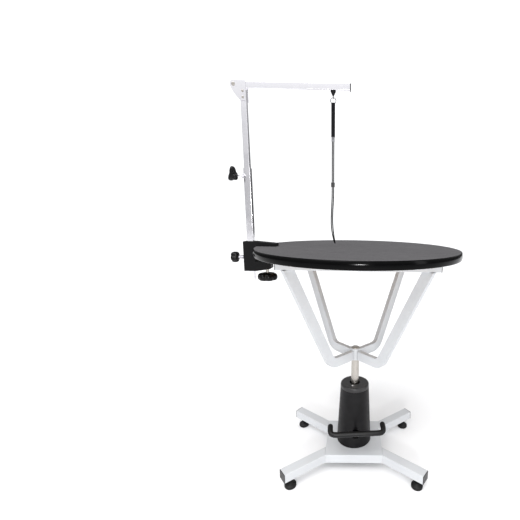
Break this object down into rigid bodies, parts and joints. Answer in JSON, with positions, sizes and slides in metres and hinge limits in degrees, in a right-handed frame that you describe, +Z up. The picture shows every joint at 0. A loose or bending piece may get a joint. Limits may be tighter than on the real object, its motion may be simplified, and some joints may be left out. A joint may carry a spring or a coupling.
{
  "type": "pet grooming table",
  "caption": "Round pet grooming table on a foot-pumped hydraulic column with a four-legged base, a clamp-on telescopic arm and a hanging noose.",
  "frame": {"origin": "middle of the footprint, on the floor", "axes": "+Z up, -Y towards the foot pedal, -X towards the clamped arm"},
  "size_m": [0.787, 0.7, 1.332],
  "materials": {
    "white_paint": "white powder coat, satin",
    "black_plastic": "moulded black plastic",
    "black_rubber": "matt black rubber",
    "grey_mat": "textured anti-slip rubber mat",
    "board_wood": "fibreboard",
    "chrome": "chrome plate",
    "steel": "bright steel",
    "pump_paint": "dark grey paint, satin",
    "clamp_paint": "black textured paint",
    "webbing": "black nylon webbing and cord"
  },
  "bodies": {
    "base": {"base_plate": "white_paint", "leg_front_left": "white_paint", "leg_front_right": "white_paint", "leg_back_left": "white_paint", "leg_back_right": "white_paint", "leg_cap_front_left": "black_plastic", "leg_cap_front_right": "black_plastic", "leg_cap_back_left": "black_plastic", "leg_cap_back_right": "black_plastic", "pump_cylinder": "steel", "cylinder_gland": "steel", "pump_cover": "pump_paint", "cover_lid": "pump_paint", "lid_screw": "chrome", "pedal_pin": "steel"},
    "foot_front_left": {"levelling_foot_front_left": "black_rubber"},
    "foot_front_right": {"levelling_foot_front_right": "black_rubber"},
    "foot_back_left": {"levelling_foot_back_left": "black_rubber"},
    "foot_back_right": {"levelling_foot_back_right": "black_rubber"},
    "pedal": {"pedal_lever": "pump_paint", "pedal_bar": "black_rubber"},
    "plunger": {"pump_plunger": "steel", "plunger_spring": "steel"},
    "piston": {"piston": "steel"},
    "table": {"piston_rod": "steel", "column_hub": "white_paint", "arm_front_left": "white_paint", "arm_front_right": "white_paint", "arm_back_left": "white_paint", "arm_back_right": "white_paint", "top_rail_front": "white_paint", "top_rail_back": "white_paint", "rail_plug_front_left": "black_plastic", "rail_plug_front_right": "black_plastic", "rail_plug_back_left": "black_plastic", "rail_plug_back_right": "black_plastic", "table_board": "board_wood", "table_mat": "grey_mat", "edge_band": "black_plastic", "clamp_body": "clamp_paint"},
    "clamp_pad": {"clamp_pad": "black_rubber"},
    "clamp_screw": {"clamp_screw": "steel", "clamp_knob": "black_plastic"},
    "mast_lock": {"mast_lock_knob": "black_plastic"},
    "mast": {"mast_lower_tube": "chrome"},
    "telescope_lock": {"telescope_lock_knob": "black_plastic"},
    "telescope": {"mast_upper_tube": "chrome", "bracket_plate_front": "chrome", "bracket_plate_back": "chrome", "bracket_rivet_1": "steel", "bracket_rivet_2": "steel", "crossbar_pin": "steel"},
    "crossbar": {"crossbar": "chrome", "crossbar_end_plug": "black_plastic"},
    "hanger": {"swivel_hanger": "black_plastic"},
    "noose": {"noose_ring": "chrome", "noose_strap": "webbing", "noose_crimp": "steel", "noose_cord": "webbing"},
    "slider": {"noose_slider": "black_plastic"}
  },
  "joints": [
    {"name": "foot_front_left_turn", "type": "hinge", "parent": "base", "child": "foot_front_left", "pos_m": [-0.17852, -0.16731, 0], "axis": [0, 0, 1], "continuous": true},
    {"name": "foot_front_right_turn", "type": "hinge", "parent": "base", "child": "foot_front_right", "pos_m": [0.26552, -0.16731, 0], "axis": [0, 0, 1], "continuous": true},
    {"name": "foot_back_left_turn", "type": "hinge", "parent": "base", "child": "foot_back_left", "pos_m": [-0.17852, 0.16731, 0], "axis": [0, 0, 1], "continuous": true},
    {"name": "foot_back_right_turn", "type": "hinge", "parent": "base", "child": "foot_back_right", "pos_m": [0.26552, 0.16731, 0], "axis": [0, 0, 1], "continuous": true},
    {"name": "pedal_press", "type": "hinge", "parent": "base", "child": "pedal", "pos_m": [0.0469, -0.03885, 0.118], "axis": [0.9962, 0.0872, 0], "range_deg": [0, 24], "stiffness_Nm_per_rad": 8, "springref_deg": -17.19},
    {"name": "plunger_stroke", "type": "slide", "parent": "base", "child": "plunger", "axis": [0, 0, -1], "range_m": [0, 0.0032], "deforming": ["plunger_spring"]},
    {"name": "lift", "type": "slide", "parent": "base", "child": "piston", "axis": [0, 0, 1], "range_m": [0, 0.14]},
    {"name": "top_swivel", "type": "hinge", "parent": "piston", "child": "table", "pos_m": [0.0435, 0, 0.43], "axis": [0, 0, 1], "continuous": true},
    {"name": "clamp_pad_travel", "type": "slide", "parent": "table", "child": "clamp_pad", "axis": [0, 0, -1], "range_m": [0, 0.01998]},
    {"name": "clamp_screw_turn", "type": "hinge", "parent": "clamp_pad", "child": "clamp_screw", "pos_m": [-0.2725, 0, 0.716], "axis": [0, 0, 1], "range_deg": [0, 3600]},
    {"name": "mast_slide", "type": "slide", "parent": "table", "child": "mast", "axis": [0, 0, 1], "range_m": [-0.13, 0.08]},
    {"name": "mast_lock_turn", "type": "hinge", "parent": "table", "child": "mast_lock", "pos_m": [-0.3935, 0, 0.7815], "axis": [-1, 0, 0], "range_deg": [0, 720]},
    {"name": "telescope_slide", "type": "slide", "parent": "mast", "child": "telescope", "axis": [0, 0, 1], "range_m": [-0.198, 0.14]},
    {"name": "telescope_lock_turn", "type": "hinge", "parent": "mast", "child": "telescope_lock", "pos_m": [-0.3245, 0, 1.049], "axis": [-0.7071, -0.7071, 0], "range_deg": [0, 720]},
    {"name": "crossbar_fold", "type": "hinge", "parent": "telescope", "child": "crossbar", "pos_m": [-0.3525, 0, 1.321], "axis": [0, -1, 0], "range_deg": [0, 270]},
    {"name": "hanger_swivel", "type": "hinge", "parent": "crossbar", "child": "hanger", "pos_m": [-0.0425, 0, 1.3], "axis": [0, 0, 1], "continuous": true},
    {"name": "noose_swing", "type": "hinge", "parent": "hanger", "child": "noose", "pos_m": [-0.0425, 0, 1.2916], "axis": [0, -1, 0], "range_deg": [-25, 25]},
    {"name": "slider_slide", "type": "slide", "parent": "noose", "child": "slider", "axis": [0, 0, 1], "range_m": [-0.012, 0.12], "deforming": ["noose_cord"]}
  ],
  "couplings": [
    {"joint": "plunger_stroke", "follows": "pedal_press", "m_per_rad": 0.0068},
    {"joint": "clamp_screw_turn", "follows": "clamp_pad_travel", "rad_per_m": 3144.7}
  ]
}
